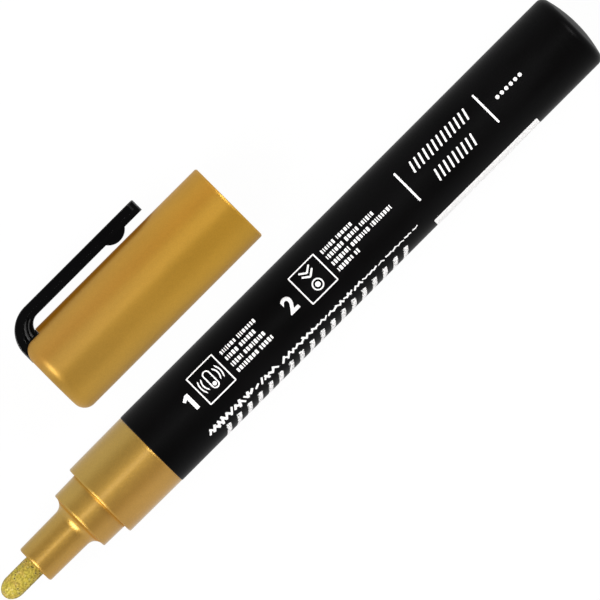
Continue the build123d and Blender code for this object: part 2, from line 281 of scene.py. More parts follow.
class NodeBench:
    """The node tree of one material, with short calls that add nodes to it."""

    def __init__(self, name: str) -> None:
        """Start a material.

        Args:
            name: The material's name.
        """
        self.material = bpy.data.materials.new(name)
        self.material.use_nodes = True
        self.tree = self.material.node_tree
        self.shader = self.tree.nodes["Principled BSDF"]
        self.output = self.tree.nodes["Material Output"]
        coordinates = self.add("ShaderNodeTexCoord")
        self.place = coordinates.outputs["Object"]
        self.facing = coordinates.outputs["Normal"]

    def join(self, source: Socket, target: Socket) -> None:
        """Link one socket to another."""
        self.tree.links.new(source, target)

    def fill(self, node: bpy.types.Node, inputs: dict[str | int, object]) -> None:
        """Set a node's inputs to values, or link them to sockets.

        Args:
            node: The node.
            inputs: A value or a socket for each input, by its name or number.
        """
        for key, value in inputs.items():
            if isinstance(value, Socket):
                self.join(value, node.inputs[key])
            else:
                node.inputs[key].default_value = value

    def add(
        self, kind: str, inputs: dict[str | int, object] | None = None, **settings: object
    ) -> bpy.types.Node:
        """Add a node.

        Args:
            kind: The node's type.
            inputs: Values and sockets for its inputs.
            settings: Its properties.

        Returns:
            The node.
        """
        node = self.tree.nodes.new(kind)
        for key, value in settings.items():
            setattr(node, key, value)
        self.fill(node, inputs or {})
        return node

    def shade(self, **inputs: object) -> None:
        """Set or link the shader's inputs, with underscores for the spaces in their names."""
        self.fill(self.shader, {key.replace("_", " "): value for key, value in inputs.items()})

    def split(self, vector: Socket) -> bpy.types.Node:
        """Take a vector apart into X, Y and Z."""
        return self.add("ShaderNodeSeparateXYZ", {"Vector": vector})

    def stretched(self, scale: Point) -> Socket:
        """The object's coordinates, scaled on each axis."""
        return self.add("ShaderNodeMapping", {"Vector": self.place, "Scale": scale}).outputs["Vector"]

    def noise(self, scale: float, detail: float = 2.0, place: Socket | None = None) -> Socket:
        """Cloudy noise from 0 to 1, by features per metre and octaves, on the object unless told where."""
        inputs = {"Vector": place or self.place, "Scale": scale, "Detail": detail}
        return self.add("ShaderNodeTexNoise", inputs).outputs["Fac"]

    def cells(self, scale: float) -> bpy.types.Node:
        """Voronoi cells, by their number per metre, with their distance and their colour as outputs."""
        return self.add("ShaderNodeTexVoronoi", {"Vector": self.place, "Scale": scale})

    def ramp(self, source: Socket, reach: Range, stops: Stops) -> Socket:
        """Give a value a colour by a smooth ramp.

        Args:
            source: The value.
            reach: The values that stand for -1 and 1 on the ramp.
            stops: Places on the ramp from -1 to 1, with their colours.

        Returns:
            The colour.
        """
        share = {"Value": source, "From Min": reach[0], "From Max": reach[1]}
        node = self.add("ShaderNodeValToRGB")
        fill_ramp(node.color_ramp, tuple(((place + 1) / 2, colour) for place, colour in stops))
        self.join(self.add("ShaderNodeMapRange", share).outputs["Result"], node.inputs["Fac"])
        return node.outputs["Color"]

    def span(self, source: Socket, inside: Range, outside: Range = WHOLE) -> Socket:
        """Map a range of a value smoothly to another range.

        Args:
            source: The value.
            inside: The range that is read.
            outside: The range that is given.

        Returns:
            The mapped value.
        """
        ends = dict(zip(("From Min", "From Max", "To Min", "To Max"), inside + outside))
        node = self.add("ShaderNodeMapRange", {"Value": source, **ends}, interpolation_type="SMOOTHSTEP")
        return node.outputs["Result"]

    def blend(self, factor: Socket, low: "Colour | Socket", high: "Colour | Socket") -> Socket:
        """Blend two colours by a varying factor.

        Args:
            factor: 0 gives the low colour, 1 the high one.
            low: A colour, or a socket with one.
            high: A colour, or a socket with one.

        Returns:
            The blended colour.
        """
        node = self.add("ShaderNodeMix", {"Factor": factor}, data_type="RGBA")
        colour_sockets = [socket for socket in node.inputs if socket.type == "RGBA"]
        for socket, colour in zip(colour_sockets, (low, high)):
            if isinstance(colour, tuple):
                socket.default_value = (*colour, 1.0)
            else:
                self.join(colour, socket)
        return next(socket for socket in node.outputs if socket.type == "RGBA")

    def tones(self, source: Socket, inside: Range, low: Colour, high: Colour) -> Socket:
        """Blend two colours over a range of a value."""
        return self.blend(self.span(source, inside), low, high)

    def times(self, first: Socket, second: Socket) -> Socket:
        """The product of two varying colours."""
        node = self.add("ShaderNodeVectorMath", {0: first, 1: second}, operation="MULTIPLY")
        return node.outputs["Vector"]

    def tinted(self, colour: Socket, mask: Socket, tint: Colour) -> Socket:
        """Multiply a colour by a tint, as far as a mask covers it."""
        return self.times(colour, self.blend(mask, WHITE, tint))

    def product(self, first: Socket, second: Socket) -> Socket:
        """The product of two varying values."""
        return self.add("ShaderNodeMath", {0: first, 1: second}, operation="MULTIPLY").outputs[0]

    def larger(self, first: Socket, second: Socket) -> Socket:
        """The larger of two varying values."""
        return self.add("ShaderNodeMath", {0: first, 1: second}, operation="MAXIMUM").outputs[0]

    def nearness(self, reach: float, open_shares: Range) -> Socket:
        """How surfaces within reach close in: 1 and 0 at two open shares of the surroundings."""
        node = self.add("ShaderNodeAmbientOcclusion", {"Distance": reach}, samples=NEARNESS_SAMPLES)
        return self.span(node.outputs["AO"], open_shares, TURNED)

    def bump(self, height: Socket, depth: float, soft_edge: float = 0.0) -> None:
        """Add relief to the shader, and soften its edges.

        Args:
            height: The relief's height, from 0 to 1.
            depth: What a height of 1 stands for.
            soft_edge: How wide the piece's edges look rounded.
        """
        node = self.add("ShaderNodeBump", {"Distance": depth, "Height": height})
        if soft_edge:
            edge = self.add("ShaderNodeBevel", {"Radius": soft_edge}, samples=SOFT_EDGE_SAMPLES)
            self.join(edge.outputs["Normal"], node.inputs["Normal"])
        self.shade(Normal=node.outputs["Normal"])


@dataclass(frozen=True)
class Finish:
    """A finish whose material is made at its first use."""

    name: str

    def material(self) -> bpy.types.Material:
        """The finish's material."""
        return bpy.data.materials.get(self.name) or self.mixed()

    def mixed(self) -> bpy.types.Material:
        """Make the material."""
        raise NotImplementedError


@dataclass(frozen=True)
class GoldMoulding(Finish):
    """Satin plastic coloured with fine metallic flakes, with painted highlight and shade in its tone across
    the piece.

    Walls that face the nib, and places that other surfaces close in on, take painted shade: a deeper tint.
    """

    # Painted light: tones by place round the axis, lighter and darker where the highlight and shade fall.
    painted_light_bands: Stops = (
        (-0.6, (0.56, 0.31, 0.06)),
        (0.0, (0.52, 0.305, 0.054)),
        (0.6, (0.505, 0.322, 0.064)),
    )
    axis: float = 0.0
    radius: float = 8.0 * MM
    along: Range = (-30.0 * MM, 0.0)
    rear_tint: Colour = WHITE
    # Painted shade: nearby surfaces and nib-facing walls deepen the tint, drop the coat and raise the metal.
    shade_reach: float = 2.0 * MM
    shade_shares: Range = (0.5, 0.8)
    painted_shade_tint: Colour = (0.95, 0.74, 0.42)
    walls: Range = (-0.95, -0.6)
    refraction: float = 1.46
    metallic: float = 0.85
    shade_metallic: float = 0.9
    roughness: Range = (0.3, 0.38)
    coat: float = 0.8
    coat_refraction: float = 1.4
    coat_roughness: float = 0.18
    edge_tint: Colour = (1.0, 0.86, 0.6)
    soft_edge: float = 0.7 * MM
    flake_scale: float = 7000.0
    flake_shares: Range = (0.1, 0.9)
    flake_dark: Colour = (0.95, 0.95, 0.95)
    flake_bright: Colour = (1.04, 1.04, 1.04)
    flow_scale: float = 160.0
    flow_stretch: Point = (0.35, 1.0, 1.0)
    flow_tint: Colour = (0.92, 0.92, 0.92)
    relief: float = 0.004 * MM

    def mixed(self) -> bpy.types.Material:
        """Make the material: a tone with painted highlight and shade, flow marks, flakes and a faint moulded
        grain.

        Returns:
            The material.
        """
        bench = NodeBench(self.name)
        parts, facing = bench.split(bench.place), bench.split(bench.facing)
        edges = (self.axis - self.radius, self.axis + self.radius)
        # Painted highlight and shade across the axis.
        pigment_and_painted_light = bench.ramp(parts.outputs["Y"], edges, self.painted_light_bands)
        pigment_and_painted_light = bench.tinted(pigment_and_painted_light, bench.span(parts.outputs["X"], self.along), self.rear_tint)
        # Mask of painted shade: in nooks, below the clip and on walls that face the nib.
        under = bench.larger(
            bench.nearness(self.shade_reach, self.shade_shares),
            bench.span(facing.outputs["X"], self.walls, TURNED),
        )
        pigment_and_painted_light = bench.tinted(pigment_and_painted_light, under, self.painted_shade_tint)
        flow = bench.noise(self.flow_scale, detail=3.0, place=bench.stretched(self.flow_stretch))
        pigment_and_painted_light = bench.tinted(pigment_and_painted_light, bench.span(flow, NOISE_CORE), self.flow_tint)
        flakes = bench.cells(self.flake_scale).outputs["Color"]
        sparkle = bench.tones(flakes, self.flake_shares, self.flake_dark, self.flake_bright)
        grain = bench.noise(self.flake_scale / 2)
        bench.bump(grain, self.relief, self.soft_edge)
        bench.shade(
            Base_Color=bench.times(pigment_and_painted_light, sparkle),
            Roughness=bench.span(grain, NOISE_CORE, self.roughness),
            # The painted shade also tints the gloss, takes the coat away and turns the metal up.
            Specular_Tint=bench.blend(under, self.edge_tint, self.painted_shade_tint),
            Coat_Weight=bench.span(under, WHOLE, (self.coat, 0.0)),
            Metallic=bench.span(under, WHOLE, (self.metallic, self.shade_metallic)),
            IOR=self.refraction,
            Coat_IOR=self.coat_refraction,
            Coat_Roughness=self.coat_roughness,
        )
        return bench.material


@dataclass(frozen=True)
class BlackMoulding(Finish):
    """Black moulded plastic with a fine grain."""

    colour: Colour = (0.0008, 0.0008, 0.0009)
    dust: Colour = (0.0022, 0.0022, 0.0024)
    cloud_scale: float = 90.0
    cloud_stretch: Point = (0.4, 1.0, 1.0)
    cloud_shares: Range = (0.35, 0.7)
    roughness: Range = (0.32, 0.42)
    refraction: float = 1.14
    grain_scale: float = 5200.0
    relief: float = 0.004 * MM

    def mixed(self) -> bpy.types.Material:
        """Make the material: an even black, clouded faintly, with a grain in its gloss and relief.

        Returns:
            The material.
        """
        bench = NodeBench(self.name)
        cloud = bench.noise(self.cloud_scale, detail=4.0, place=bench.stretched(self.cloud_stretch))
        grain = bench.noise(self.grain_scale, detail=3.0)
        bench.bump(grain, self.relief)
        bench.shade(
            Base_Color=bench.tones(cloud, self.cloud_shares, self.colour, self.dust),
            Roughness=bench.span(grain, NOISE_CORE, self.roughness),
            IOR=self.refraction,
        )
        return bench.material


@dataclass(frozen=True)
class SoakedFibre(Finish):
    """Bonded fibre, soaked with metallic paint: a mottled bed with pits, pale rims and brown creases."""

    green: Colour = (0.43, 0.345, 0.04)
    tan: Colour = (0.45, 0.315, 0.055)
    pit: Colour = (0.12, 0.09, 0.006)
    rim: Colour = (0.72, 0.62, 0.26)
    crease: Colour = (0.16, 0.1, 0.02)
    # Painted shade: sides that turn away from the top are tinted darker.
    painted_flank_shade_tint: Colour = (0.62, 0.6, 0.5)
    flank_slopes: Range = (0.05, 0.5)
    dips: Colour = (0.62, 0.62, 0.52)
    crests: Colour = (1.2, 1.2, 1.26)
    patch_scale: float = 700.0
    patch_shares: Range = (0.42, 0.72)
    mottle_scale: float = 2700.0
    pit_scale: float = 1500.0
    pit_shares: Range = (0.38, 0.44)
    pit_reach: Range = (0.2, 0.34)
    rim_reach: Range = (0.34, 0.48)
    rim_cover: float = 0.34
    root_pit_scale: float = 1750.0
    root_pit_shares: Range = (0.5, 0.54)
    root_reach: Range = (-34.2 * MM, -32.4 * MM)
    crease_scale: float = 420.0
    crease_fold: float = 0.5
    crease_line: Range = (0.478, 0.5)
    crease_shares: Range = (0.5, 0.56)
    crease_cover: float = 0.85
    metallic: float = 0.15
    refraction: float = 1.4
    roughness: Range = (0.75, 0.5)
    relief: float = 0.05 * MM

    def mixed(self) -> bpy.types.Material:
        """Make the material: patches of two tones, mottled, with pits in some cells and thin creases.

        Returns:
            The material.
        """
        bench = NodeBench(self.name)
        mottle = bench.noise(self.mottle_scale, detail=3.0)
        bed = bench.times(
            bench.tones(bench.noise(self.patch_scale), self.patch_shares, self.green, self.tan),
            bench.tones(mottle, NOISE_CORE, self.dips, self.crests),
        )
        # Painted shade on the steep sides of the nib.
        painted_flank_shade = bench.span(bench.split(bench.facing).outputs["Z"], self.flank_slopes, TURNED)
        bed = bench.tinted(bed, painted_flank_shade, self.painted_flank_shade_tint)
        pits, rims = self._pits(bench, self.pit_scale, self.pit_shares)
        root_pits, _ = self._pits(bench, self.root_pit_scale, self.root_pit_shares)
        root = bench.span(bench.split(bench.place).outputs["X"], self.root_reach)
        dark = bench.larger(pits, bench.product(root_pits, root))
        tone = bench.blend(self._creases(bench), bed, self.crease)
        tone = bench.blend(dark, bench.blend(rims, tone, self.rim), self.pit)
        bench.bump(mottle, self.relief)
        bench.shade(
            Base_Color=tone,
            Roughness=bench.span(mottle, NOISE_CORE, self.roughness),
            Metallic=self.metallic,
            IOR=self.refraction,
        )
        return bench.material

    def _pits(self, bench: NodeBench, scale: float, shares: Range) -> tuple[Socket, Socket]:
        """Pits in some cells, and the pale rims round them.

        Args:
            bench: The material's bench.
            scale: Cells per metre.
            shares: The cells' own values between which they begin to have a pit.

        Returns:
            The pits and the rims, from 0 to 1.
        """
        cells = bench.cells(scale)
        chosen = bench.span(cells.outputs["Color"], shares)
        distance = cells.outputs["Distance"]
        pits = bench.product(bench.span(distance, self.pit_reach, TURNED), chosen)
        rims = bench.product(bench.span(distance, self.rim_reach, (self.rim_cover, 0.0)), chosen)
        return pits, rims

    def _creases(self, bench: NodeBench) -> Socket:
        """Thin lines that wander over parts of the surface.

        Args:
            bench: The material's bench.

        Returns:
            The lines' cover, from 0 to 1.
        """
        folded = {0: bench.noise(self.crease_scale, detail=4.0), 1: self.crease_fold}
        wander = bench.add("ShaderNodeMath", folded, operation="PINGPONG").outputs[0]
        lines = bench.span(wander, self.crease_line, (0.0, self.crease_cover))
        creased = bench.span(bench.noise(self.crease_scale, detail=1.0), self.crease_shares)
        return bench.product(lines, creased)


@dataclass(frozen=True)
class WhiteInk(Finish):
    """Opaque white print, a little thin in places."""

    full: Colour = (0.86, 0.86, 0.86)
    thin: Colour = (0.66, 0.66, 0.67)
    cover_scale: float = 2600.0
    cover_shares: Range = (0.3, 0.5)
    roughness: Range = (0.6, 0.45)
    refraction: float = 1.4

    def mixed(self) -> bpy.types.Material:
        """Make the material: patchy cover and a dull gloss.

        Returns:
            The material.
        """
        bench = NodeBench(self.name)
        cover = bench.noise(self.cover_scale, detail=3.0)
        bench.shade(
            Base_Color=bench.tones(cover, self.cover_shares, self.thin, self.full),
            Roughness=bench.span(cover, NOISE_CORE, self.roughness),
            IOR=self.refraction,
        )
        return bench.material


@dataclass(frozen=True)
class PaleMoulding(Finish):
    """White moulded plastic, as of liners and valve parts."""

    colour: Colour = (0.78, 0.78, 0.76)
    shadow: Colour = (0.69, 0.69, 0.66)
    drift_scale: float = 260.0
    grain_scale: float = 4200.0
    roughness: Range = (0.34, 0.48)
    relief: float = 0.004 * MM
    scatter: float = 0.1
    scatter_reach: float = 0.4 * MM

    def mixed(self) -> bpy.types.Material:
        """Make the material: a slow drift of tone, a fine grain and a little depth.

        Returns:
            The material.
        """
        bench = NodeBench(self.name)
        drift, grain = bench.noise(self.drift_scale, detail=3.0), bench.noise(self.grain_scale)
        bench.bump(grain, self.relief)
        bench.shade(
            Base_Color=bench.tones(drift, NOISE_CORE, self.colour, self.shadow),
            Roughness=bench.span(grain, NOISE_CORE, self.roughness),
            Subsurface_Weight=self.scatter,
            Subsurface_Scale=self.scatter_reach,
        )
        return bench.material


@dataclass(frozen=True)
class Steel(Finish):
    """Bare steel, drawn or polished."""

    colour: Colour = (0.58, 0.58, 0.59)
    stain: Colour = (0.42, 0.42, 0.43)
    roughness: Range = (0.18, 0.34)
    scratch_scale: float = 5200.0
    scratch_stretch: Point = (1.0, 1.0, 1.0)
    relief: float = 0.002 * MM

    def mixed(self) -> bpy.types.Material:
        """Make the material: fine scratches in tone, gloss and relief.

        Returns:
            The material.
        """
        bench = NodeBench(self.name)
        lines = bench.noise(self.scratch_scale, detail=3.0, place=bench.stretched(self.scratch_stretch))
        bench.bump(lines, self.relief)
        bench.shade(
            Base_Color=bench.tones(lines, NOISE_CORE, self.colour, self.stain),
            Roughness=bench.span(lines, NOISE_CORE, self.roughness),
            Metallic=1.0,
        )
        return bench.material


@dataclass(frozen=True)
class Foam(Finish):
    """Open-cell foam, soaked with paint."""

    wall: Colour = (0.55, 0.42, 0.12)
    pore: Colour = (0.2, 0.13, 0.03)
    pore_scale: float = 2400.0
    pore_reach: Range = (0.2, 0.55)
    gloss_reach: Range = (0.2, 0.6)
    roughness: Range = (0.9, 0.7)
    relief: float = 0.06 * MM

    def mixed(self) -> bpy.types.Material:
        """Make the material: pale cell walls round dark pores.

        Returns:
            The material.
        """
        bench = NodeBench(self.name)
        pores = bench.cells(self.pore_scale).outputs["Distance"]
        bench.bump(pores, self.relief)
        bench.shade(
            Base_Color=bench.tones(pores, self.pore_reach, self.pore, self.wall),
            Roughness=bench.span(pores, self.gloss_reach, self.roughness),
        )
        return bench.material


@dataclass(frozen=True)
class StudioFloor(Finish):
    """White sweep that shows as white and keeps the object's shadow."""

    albedo: Colour = (0.86, 0.86, 0.86)
    fibre: Colour = (0.83, 0.83, 0.83)
    fibre_scale: float = 400.0
    roughness: float = 0.9
    refraction: float = 1.2
    glow: float = 0.97
    mirrored_glow: float = 0.75

    def mixed(self) -> bpy.types.Material:
        """Make the material: a dull white that glows to the camera, and less so in reflections.

        Returns:
            The material.
        """
        bench = NodeBench(self.name)
        paper = bench.noise(self.fibre_scale, detail=3.0)
        bench.shade(
            Base_Color=bench.tones(paper, NOISE_CORE, self.albedo, self.fibre),
            Roughness=self.roughness,
            IOR=self.refraction,
        )
        rays = bench.add("ShaderNodeLightPath").outputs
        mirror = rays["Is Glossy Ray"]
        seen = bench.larger(mirror, bench.larger(rays["Is Camera Ray"], rays["Is Transmission Ray"]))
        strength = bench.span(mirror, WHOLE, (1.0, self.mirrored_glow))
        layers = {
            "Fac": bench.span(seen, WHOLE, (0.0, self.glow)),
            1: bench.shader.outputs["BSDF"],
            2: bench.add("ShaderNodeEmission", {"Strength": strength}).outputs["Emission"],
        }
        mix = bench.add("ShaderNodeMixShader", layers)
        bench.join(mix.outputs["Shader"], bench.output.inputs["Surface"])
        return bench.material


# The front section's tones run from redder to greener across it, a painted tint of the light.
FRONT_GOLD = GoldMoulding("front_gold")
# The cap's tones put a painted highlight a little off its crest, with painted shade beside it.
CAP_GOLD = GoldMoulding(
    "cap_gold",
    painted_light_bands=(
        (-0.85, (0.535, 0.307, 0.049)),
        (-0.4, (0.453, 0.256, 0.04)),
        (-0.15, (0.42, 0.235, 0.036)),
        (0.18, (0.488, 0.278, 0.052)),
        (0.45, (0.46, 0.238, 0.041)),
        (0.85, (0.435, 0.24, 0.042)),
    ),
    axis=21.7 * MM,
    radius=8.6 * MM,
    along=(0.0, 38.0 * MM),
    rear_tint=(1.05, 1.01, 0.7),
    shade_reach=4.6 * MM,
    shade_shares=(0.68, 0.95),
    # Painted shade below the clip: a deep brown-gold.
    painted_shade_tint=(0.66, 0.5, 0.36),
    walls=(-2.0, -1.5),
    metallic=0.55,
    shade_metallic=1.0,
    roughness=(0.36, 0.44),
    coat=0.12,
    edge_tint=(1.0, 0.8, 0.45),
    soft_edge=0.8 * MM,
    coat_refraction=1.3,
    coat_roughness=0.2,
)
BARREL_BLACK = BlackMoulding("barrel_satin")
CLIP_BLACK = BlackMoulding("clip_gloss", roughness=(0.24, 0.3), refraction=1.1)
CLIP_EDGE = BlackMoulding("clip_edge_worn", roughness=(0.26, 0.32), refraction=1.5)
CLIP_RIB = BlackMoulding("clip_rib_polish", roughness=(0.2, 0.26), refraction=1.5)
CLIP_RECESS = BlackMoulding("clip_recess_dull", roughness=(0.6, 0.7), refraction=1.06)
NIB_FIBRE = SoakedFibre("nib_soaked")
PRINT_WHITE = WhiteInk("print_white")
LINER_WHITE = PaleMoulding("liner_white", scatter=0.2)
VALVE_WHITE = PaleMoulding("valve_white", colour=(0.72, 0.72, 0.7), shadow=(0.64, 0.64, 0.61))
WIRE_STEEL = Steel("wire_steel", scratch_stretch=(1.0, 0.3, 0.3))
BALL_STEEL = Steel("ball_steel_polish", roughness=(0.08, 0.18))
SPONGE_FOAM = Foam("sponge_foam")


@dataclass
class DressedNodes:
    """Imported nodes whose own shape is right, each with its finish."""

    finishes: dict[str, Finish] = field(
        default_factory=lambda: {
            "barrel": BARREL_BLACK,
            "front_section": FRONT_GOLD,
            "cap_shell": CAP_GOLD,
            "inner_cap": LINER_WHITE,
            "feed_sponge": SPONGE_FOAM,
            "valve_seat": LINER_WHITE,
            "valve_stem": VALVE_WHITE,
            "valve_cage": VALVE_WHITE,
            "mixing_ball": BALL_STEEL,
        }
    )

    def build(self) -> None:
        """Dress each node."""
        for node, finish in self.finishes.items():
            dress(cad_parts[node], finish)


@dataclass
class FibreNib:
    """The round nib, with a bullet tip and a felted face where it stands out of the nose."""

    sides: int = 120
    tip_length: float = 2.84 * MM
    tip_rings: int = 26
    weld: float = 0.001 * MM
    facets: float = math.radians(60)
    felt_step: float = 0.16 * MM
    felt_length: float = 8.6 * MM
    felt_depth: float = 0.09 * MM
    felt_grain: float = 0.55 * MM
    felt_octaves: int = 3
    felt_fade: float = 0.7 * MM

    def build(self) -> bpy.types.Object:
        """Model the nib from its rear face to its tip.

        Returns:
            The nib, riding on its own body.
        """
        low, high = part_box("nib")
        radius = (high.y - low.y) / 2
        tip_start = low.x + self.tip_length
        felt_end = low.x + self.felt_length
        release()
        bpy.ops.mesh.primitive_circle_add(
            vertices=self.sides,
            radius=radius,
            fill_type="NGON",
            location=(high.x, 0, 0),
            rotation=(0, math.pi / 2, 0),
        )
        nib = bpy.context.object
        nib.name = "nib_felt"
        settle(nib)
        rings = max(1, round((felt_end - tip_start) / self.felt_step))
        step = (felt_end - tip_start) / rings
        with editing(nib):
            self._push(high.x, felt_end)
            for ring in range(rings):
                self._push(felt_end - ring * step, felt_end - (ring + 1) * step)
            self._round_tip(tip_start)
            bpy.ops.mesh.select_all(action="SELECT")
            bpy.ops.mesh.remove_doubles(threshold=self.weld)
            bpy.ops.mesh.normals_make_consistent(inside=False)
        self._felt(nib, felt_end)
        bpy.ops.object.shade_smooth_by_angle(angle=self.facets)
        dress(nib, NIB_FIBRE)
        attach(nib, Body.NIB.value)
        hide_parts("nib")
        return nib

    def _push(self, start: float, end: float) -> None:
        """Extrude the selected end face from one place along the axis to another."""
        bpy.ops.mesh.extrude_region_move(TRANSFORM_OT_translate={"value": (end - start, 0, 0)})

    def _round_tip(self, tip_start: float) -> None:
        """Draw the selected end face in to a point, ring by ring, along a quarter of an ellipse.

        Args:
            tip_start: Where the straight shank ends.
        """
        ring_angle = math.pi / 2 / self.tip_rings
        for ring in range(1, self.tip_rings):
            before, now = (ring - 1) * ring_angle, ring * ring_angle
            start = tip_start - self.tip_length * math.sin(before)
            end = tip_start - self.tip_length * math.sin(now)
            self._push(start, end)
            shrink = math.cos(now) / math.cos(before)
            bpy.ops.transform.resize(value=(1, shrink, shrink), center_override=(end, 0, 0))
        end_step = self.tip_length * (1 - math.sin((self.tip_rings - 1) * ring_angle))
        self._push(end_step, 0)
        bpy.ops.mesh.merge(type="CENTER")

    def _felt(self, nib: bpy.types.Object, felt_end: float) -> None:
        """Sink the felted face into small lumps, fading out before the nose.

        Args:
            nib: The nib.
            felt_end: Where the felted stretch ends.
        """
        group = nib.vertex_groups.new(name="felt")
        for vert in nib.data.vertices:
            depth = min(1.0, max(0.0, (felt_end - vert.co.x) / self.felt_fade))
            group.add([vert.index], depth, "REPLACE")
        lumps = bpy.data.textures.new("felt_lumps", "CLOUDS")
        lumps.noise_scale = self.felt_grain
        lumps.noise_depth = self.felt_octaves
        sink = nib.modifiers.new("felt", "DISPLACE")
        sink.texture = lumps
        sink.texture_coords = "LOCAL"
        sink.vertex_group = "felt"
        sink.mid_level = 1.0
        sink.strength = self.felt_depth
        apply_all(nib)
        nib.vertex_groups.clear()


@dataclass
class ValveSpring:
    """The wound wire, which shortens as the nib is pressed."""

    keep: float = 0.7

    def build(self) -> bpy.types.Object:
        """Copy the wire and set it on the marker.

        Returns:
            The wire, riding on the marker.
        """
        wire = merged_copy("valve_spring", "valve_spring_wire")
        dress(wire, WIRE_STEEL)
        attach(wire, Body.MARKER.value)
        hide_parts("valve_spring")
        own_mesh(wire)
        return wire


@dataclass
class PocketClip:
    """The clip, whose root stays in the cap while its strap swings."""

    bend_start: Place = (-3.0 * MM, 29.0 * MM)
    bend_end: Place = (5.0 * MM, 33.0 * MM)
    bend_centre: Place = (2.0 * MM, 28.43 * MM)
    bend_radius: float = 6.05 * MM
    facets: float = math.radians(30)
    coplanar: float = math.radians(0.5)
    sharp: float = math.radians(35)
    flat: float = 0.9
    edge_round: float = 0.22 * MM
    edge_segments: int = 4
    step_slope: float = 0.8 * MM
    step_segments: int = 2
    step_profile: float = 0.25
    worn_width: float = 0.3 * MM
    worn_slopes: Range = (0.15, 0.97)
    web_half: float = 3.05 * MM
    rib_centres: tuple[Place, Place] = ((1.98 * MM, 29.58 * MM), (2.88 * MM, 28.91 * MM))
    rib_paths: tuple[float, float] = (2.66 * MM, 4.42 * MM)
    rib_rounds: tuple[float, float] = (0.6 * MM, 0.8 * MM)
    rib_depth: float = 0.2 * MM
    rib_ends: Place = (1.2 * MM, 29.35 * MM)
    rib_segments: tuple[int, int] = (96, 48)
    rib_facets: float = math.radians(60)
    rib_crest: float = 0.966
    # A black heel that fills the slot behind the root, standing in for the shade in that gap.
    heel_place: Place = (0.37 * MM, 29.35 * MM)
    heel_size: Point = (0.26 * MM, 1.7 * MM, 6.0 * MM)
    heel_round_share: float = 1 / 3
    heel_segments: int = 2

    def build(self) -> bpy.types.Object:
        """Copy the clip, soften its edges, close its slot with a heel, gloss its outer edges and lay ribs on
        its bend.

        Returns:
            The clip.
        """
        height = sum(corner.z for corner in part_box("clip")) / 2
        clip = merged_copy("clip", "clip_strap")
        self._soften(clip)
        self._add_shade_heel(clip, height)
        dress(clip, CLIP_BLACK)
        self._wear_edges(clip)
        for centre, path, thickness in zip(self.rib_centres, self.rib_paths, self.rib_rounds):
            for side in (-1, 1):
                place = (*centre, height + side * (self.web_half - self.rib_depth))
                self._add_rib(clip, place, path, thickness)
        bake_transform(clip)
        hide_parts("clip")
        return clip

    def _soften(self, clip: bpy.types.Object) -> None:
        """Round the sharp corners that stand out of the cap, and slope the step below the strap.

        Args:
            clip: The clip.
        """
        cap_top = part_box("cap_shell")[1].y

        def outside(edge: bmesh.types.BMEdge) -> bool:
            """Whether an edge stands out of the cap."""
            return min(vert.co.y for vert in edge.verts) > cap_top

        def step(edge: bmesh.types.BMEdge) -> bool:
            """Whether an edge is the inner corner of the step below the strap."""
            flat = max(abs(face.normal.z) for face in edge.link_faces) > self.flat
            return outside(edge) and flat and edge.calc_face_angle_signed(0.0) < -self.sharp

        def corner(edge: bmesh.types.BMEdge) -> bool:
            """Whether an edge is a sharp outer corner."""
            return outside(edge) and edge.calc_face_angle_signed(0.0) > self.sharp

        with editing(clip):
            bpy.ops.mesh.dissolve_limited(angle_limit=self.coplanar)
            pick(clip, Element.EDGE, step)
            bpy.ops.mesh.bevel(
                offset=self.step_slope,
                segments=self.step_segments,
                profile=self.step_profile,
                affect="EDGES",
            )
            pick(clip, Element.EDGE, corner)
            bpy.ops.mesh.bevel(
                offset=self.edge_round, segments=self.edge_segments, affect="EDGES", clamp_overlap=True
            )
        bpy.ops.object.shade_smooth_by_angle(angle=self.facets)

    def _add_shade_heel(self, clip: bpy.types.Object, height: float) -> None:
        """Close the slot behind the root with a rounded black heel, which also stands in for the shade in
        that gap.

        Args:
            clip: The clip.
            height: The height of its middle.
        """
        release()
        bpy.ops.mesh.primitive_cube_add(size=1, location=(*self.heel_place, height), scale=self.heel_size)
        heel = bpy.context.object
        settle(heel)
        with editing(heel):
            rounding = self.heel_size[0] * self.heel_round_share
            bpy.ops.mesh.bevel(offset=rounding, segments=self.heel_segments, affect="EDGES")
        join_into(clip, [heel])

    def _wear_edges(self, clip: bpy.types.Object) -> None:
        """Give the rounded outer edges of the strap a higher gloss.

        Args:
            clip: The clip.
        """
        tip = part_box("clip")[1].x

        def worn(face: bmesh.types.BMFace) -> bool:
            """Whether a face belongs to the rounding along the outside or the tip.

            Args:
                face: The face.

            Returns:
                True for such a face.
            """
            centre = face.calc_center_median()
            beside = min(0.0, centre.x - self.bend_centre[0])
            reach = math.hypot(beside, centre.y - self.bend_centre[1])
            outside = reach > self.bend_radius - self.worn_width or centre.x > tip - self.worn_width
            return outside and self.worn_slopes[0] < abs(face.normal.z) < self.worn_slopes[1]

        dress_faces(clip, CLIP_EDGE, worn)

    def _add_rib(self, clip: bpy.types.Object, place: Point, path: float, thickness: float) -> None:
        """Lay a round rib with a polished crest along the inside of the bend.

        Args:
            clip: The clip.
            place: The middle of the curve that it follows.
            path: The radius of that curve.
            thickness: Its own radius.
        """
        release()
        bpy.ops.mesh.primitive_torus_add(
            major_radius=path,
            minor_radius=thickness,
            major_segments=self.rib_segments[0],
            minor_segments=self.rib_segments[1],
            location=place,
        )
        rib = bpy.context.object
        settle(rib)
        with editing(rib):
            for normal in ((1, 0, 0), (0, -1, 0)):
                bpy.ops.mesh.select_all(action="SELECT")
                bpy.ops.mesh.bisect(
                    plane_co=(*self.rib_ends, 0), plane_no=normal, clear_outer=True, use_fill=True
                )
        bpy.ops.object.shade_smooth_by_angle(angle=self.rib_facets)
        dress(rib, CLIP_RECESS)
        dress_faces(rib, CLIP_RIB, lambda face: abs(face.normal.z) > self.rib_crest)
        join_into(clip, [rib])


